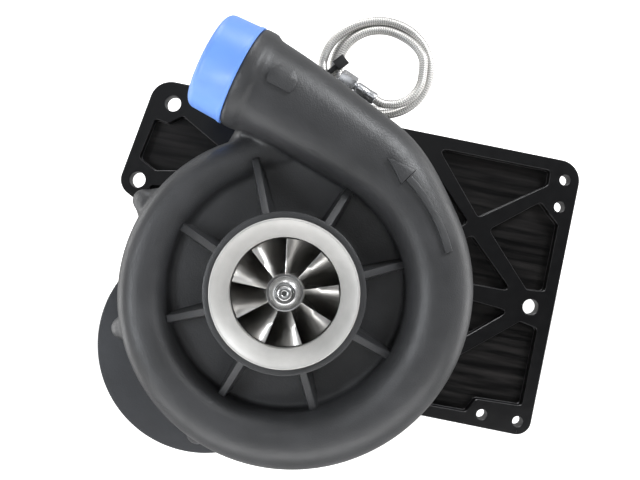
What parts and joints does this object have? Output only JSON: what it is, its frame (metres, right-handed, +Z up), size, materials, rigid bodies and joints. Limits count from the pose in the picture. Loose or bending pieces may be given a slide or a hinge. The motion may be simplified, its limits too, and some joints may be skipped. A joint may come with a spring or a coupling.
{
  "type": "centrifugal supercharger",
  "caption": "Belt-driven centrifugal supercharger head unit: scroll housing, gear case, mounting plate, capped discharge and a coiled oil hose.",
  "frame": {"origin": "on the mounting plate's back face, on the impeller axis", "axes": "+Y out of the plate's back towards the engine side, so the inlet faces -Y; +Z up as installed; +X to the right seen from the inlet"},
  "size_m": [0.4129, 0.2187, 0.382],
  "materials": {
    "coated_casting": "satin powder coat with a fine grain",
    "machined_aluminium": "fine turned",
    "polished_aluminium": "polished",
    "grey_case": "satin",
    "plated_steel": "satin",
    "bearing_steel": "ground",
    "gear_steel": "ground",
    "black_steel": "black oxide",
    "seal_rubber": "matte",
    "black_anodised": "black anodised, milled",
    "hose_braid": "braided wire",
    "polished_steel": "polished",
    "black_nylon": "moulded",
    "blue_plastic": "moulded, semi-matte"
  },
  "bodies": {
    "housing": {"volute_housing": "coated_casting", "backplate": "machined_aluminium", "volute_screw_1": "black_steel", "volute_screw_2": "black_steel", "volute_screw_3": "black_steel", "volute_screw_4": "black_steel", "volute_screw_5": "black_steel", "volute_screw_6": "black_steel", "volute_screw_7": "black_steel", "volute_screw_8": "black_steel", "backplate_screw_1": "black_steel", "backplate_screw_2": "black_steel", "backplate_screw_3": "black_steel", "backplate_screw_4": "black_steel", "gearcase_front": "grey_case", "gearcase_rear": "grey_case", "case_screw_1": "black_steel", "case_screw_2": "black_steel", "case_screw_3": "black_steel", "case_screw_4": "black_steel", "plate_bolt_1": "black_steel", "plate_bolt_2": "black_steel", "plate_bolt_3": "black_steel", "plate_bolt_4": "black_steel", "plate_bolt_5": "black_steel", "plate_bolt_6": "black_steel", "dowel_pin_1": "gear_steel", "dowel_pin_2": "gear_steel", "oil_feed_fitting": "plated_steel", "oil_drain_plug": "plated_steel", "pinion_bearing_front": "bearing_steel", "pinion_bearing_rear": "bearing_steel", "impeller_seal": "seal_rubber", "input_bearing_front": "bearing_steel", "input_bearing_rear": "bearing_steel", "input_seal": "seal_rubber", "mounting_plate": "black_anodised", "oil_hose": "hose_braid", "oil_hose_coil": "hose_braid", "oil_hose_tail": "hose_braid", "hose_ferrule": "polished_steel", "cable_tie": "black_nylon"},
    "drive_rotor": {"drive_gear": "gear_steel", "input_shaft": "gear_steel", "drive_key": "gear_steel", "drive_pulley": "black_anodised", "pulley_washer": "plated_steel", "pulley_bolt": "plated_steel"},
    "impeller_rotor": {"pinion_shaft": "gear_steel", "impeller": "polished_aluminium", "impeller_washer": "polished_aluminium", "impeller_nut": "polished_steel"},
    "discharge_cap": {"discharge_cap": "blue_plastic"},
    "hose_nut": {"hose_swivel_nut": "polished_steel"}
  },
  "joints": [
    {"name": "drive_spin", "type": "hinge", "parent": "housing", "child": "drive_rotor", "pos_m": [-0.06758, 0, -0.04645], "axis": [0, 1, 0], "continuous": true},
    {"name": "impeller_spin", "type": "hinge", "parent": "housing", "child": "impeller_rotor", "pos_m": [0, 0, 0], "axis": [0, 1, 0], "continuous": true},
    {"name": "cap_pull", "type": "slide", "parent": "housing", "child": "discharge_cap", "axis": [-0.891, 0, 0.454], "range_m": [0, 0.06]},
    {"name": "hose_nut_spin", "type": "hinge", "parent": "housing", "child": "hose_nut", "pos_m": [0.0748, -0.02505, 0.16311], "axis": [-0.8387, 0, 0.5446], "continuous": true}
  ],
  "couplings": [
    {"joint": "impeller_spin", "follows": "drive_spin", "ratio": -3.4444}
  ]
}
